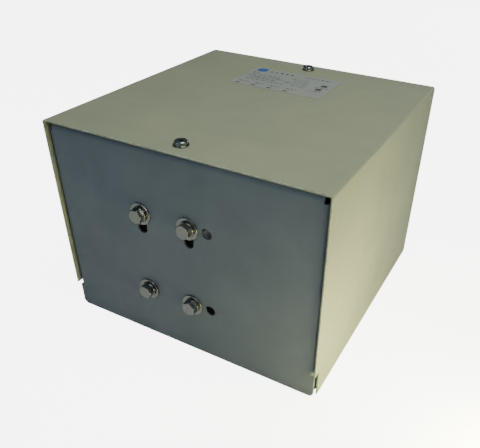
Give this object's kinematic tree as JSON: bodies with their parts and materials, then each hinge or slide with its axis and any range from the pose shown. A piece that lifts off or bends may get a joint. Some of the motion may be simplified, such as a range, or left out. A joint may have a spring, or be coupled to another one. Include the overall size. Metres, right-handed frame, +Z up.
{
  "type": "variable autotransformer in a sheet-metal case",
  "caption": "Bench or panel variable autotransformer: folded steel case with lift-off cover, panel-bolted ring winding, shaft-turned brush and dial knob.",
  "frame": {"origin": "middle of the case's underside, on the surface it stands on", "axes": "+Z up, -Y out of the panel that the transformer is bolted to, +Y out of the panel with the knob, +X to the right seen from -Y"},
  "size_m": [0.21, 0.2404, 0.1614],
  "materials": {
    "cover_paint": "satin grey-green enamel",
    "chassis_paint": "satin slate enamel",
    "zinc_plate": "bright zinc plate",
    "ground_steel": "ground steel",
    "label_foil": "satin printed foil",
    "cast_aluminium": "as-cast, tumbled",
    "core_steel": "strip-wound edge",
    "copper_wire": "enamelled",
    "bare_copper": "burnished",
    "brass": "machined",
    "bronze": "sintered, oiled",
    "spring_steel": "drawn wire",
    "carbon": "pressed carbon",
    "laminate": "paper phenolic",
    "cap_nylon": "moulded",
    "black_phenolic": "moulded",
    "bushing_nylon": "moulded",
    "index_white": "filled",
    "dial_enamel": "black print on aluminium",
    "tinned_copper": "tinned",
    "black_insulation": "extruded",
    "white_insulation": "extruded",
    "red_insulation": "extruded",
    "green_insulation": "extruded"
  },
  "bodies": {
    "case": {"mounting_panel": "chassis_paint", "control_panel": "chassis_paint", "floor_pan": "chassis_paint", "cover_clip_nuts": "zinc_plate", "flat_washers": "zinc_plate", "lock_washers": "zinc_plate", "mounting_bolts": "zinc_plate", "transformer_base": "cast_aluminium", "base_insulator": "laminate", "core": "core_steel", "core_caps": "cap_nylon", "winding": "copper_wire", "brush_track": "bare_copper", "clamp_plate": "laminate", "clamp_screws": "zinc_plate", "stop_pins": "ground_steel", "front_bush": "bronze", "back_bush": "bronze", "contact_spring": "brass", "contact_screw": "zinc_plate", "panel_bushing": "brass", "bushing_nut": "zinc_plate", "dial_plate": "dial_enamel", "dial_screws": "zinc_plate", "dial_nuts": "zinc_plate", "cable_bushings": "bushing_nylon", "cable_bushing_nuts": "zinc_plate", "terminal_board": "laminate", "board_screws": "zinc_plate", "winding_terminals": "brass", "winding_terminal_screws": "zinc_plate", "winding_tap_leads": "copper_wire", "terminal_block": "black_phenolic", "block_terminals": "brass", "block_terminal_screws": "zinc_plate", "block_mounting_screws": "zinc_plate", "earth_stud": "zinc_plate", "earth_nuts": "zinc_plate", "lead_lugs": "tinned_copper", "line_lead": "black_insulation", "neutral_lead": "white_insulation", "output_lead": "red_insulation", "earth_lead": "green_insulation", "brush_lead": "red_insulation"},
    "cover": {"cover": "cover_paint", "cover_screws": "zinc_plate", "rating_label": "label_foil"},
    "control": {"shaft": "ground_steel", "collector_ring": "brass", "brush_arm": "cast_aluminium", "set_screws": "zinc_plate", "brush_holder": "brass", "brush_holder_cap": "brass", "carbon_brush": "carbon", "brush_spring": "spring_steel", "shaft_coupling": "ground_steel", "extension_shaft": "ground_steel", "knob": "black_phenolic", "knob_index": "index_white"}
  },
  "joints": [
    {"name": "voltage_control", "type": "hinge", "parent": "case", "child": "control", "pos_m": [-0.0115, 0, 0.0748], "axis": [0, -1, 0], "range_deg": [0, 316]},
    {"name": "cover_lift", "type": "slide", "parent": "case", "child": "cover", "axis": [0, 0, 1], "range_m": [0, 0.18]}
  ]
}
